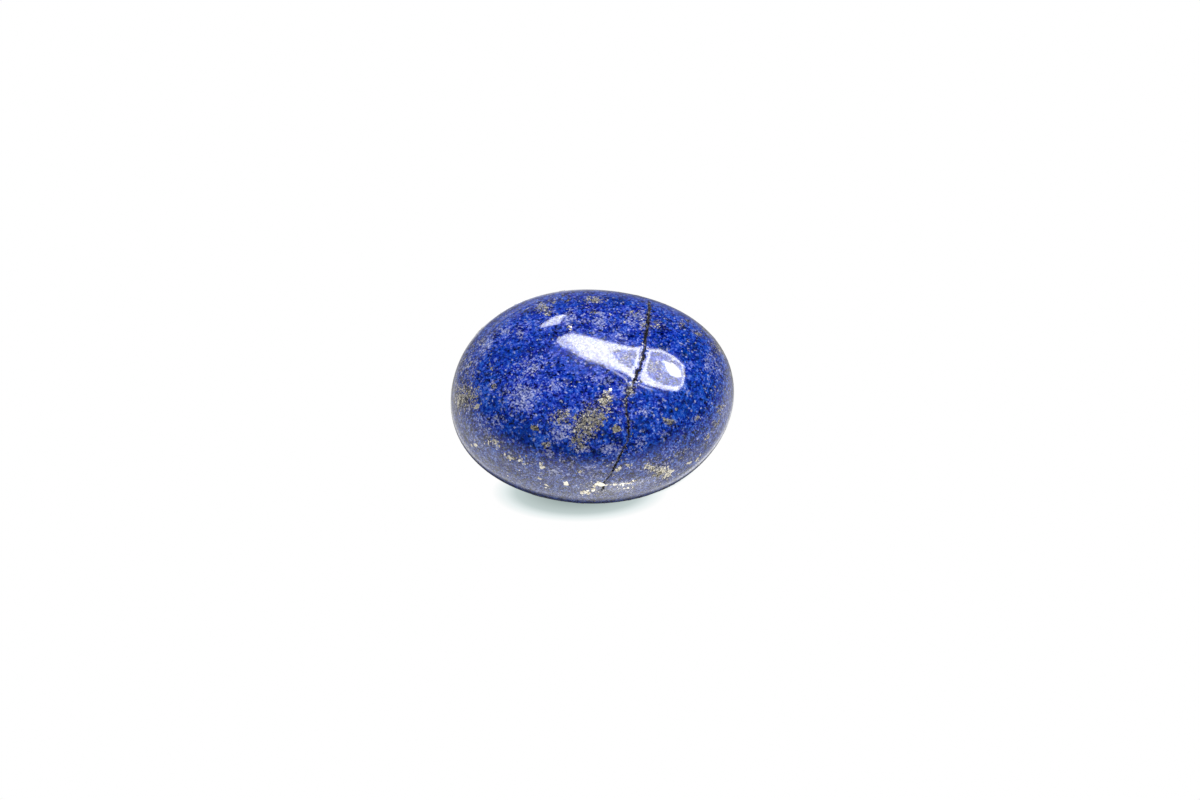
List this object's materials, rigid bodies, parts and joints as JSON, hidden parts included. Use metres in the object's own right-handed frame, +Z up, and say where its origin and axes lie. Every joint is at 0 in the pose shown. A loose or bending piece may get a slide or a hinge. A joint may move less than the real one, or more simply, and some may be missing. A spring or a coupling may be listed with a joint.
{
  "type": "lapis lazuli cabochon",
  "caption": "Loose polished lapis lazuli cabochon, an oval blue dome with gold pyrite flecks and an open fissure, that rests on a small flat base.",
  "frame": {"origin": "middle of the flat base, on the surface that the stone rests on", "axes": "+X along the stone's longest extent, +Y across it, +Z up through the top of the dome; the pictured side faces -Y and up"},
  "size_m": [0.02, 0.016, 0.009],
  "materials": {
    "polished_lapis": "high polish, with mottled royal blue, pale calcite haze and flush gold pyrite grains"
  },
  "bodies": {
    "root": {"lapis_stone": "polished_lapis"}
  },
  "joints": []
}
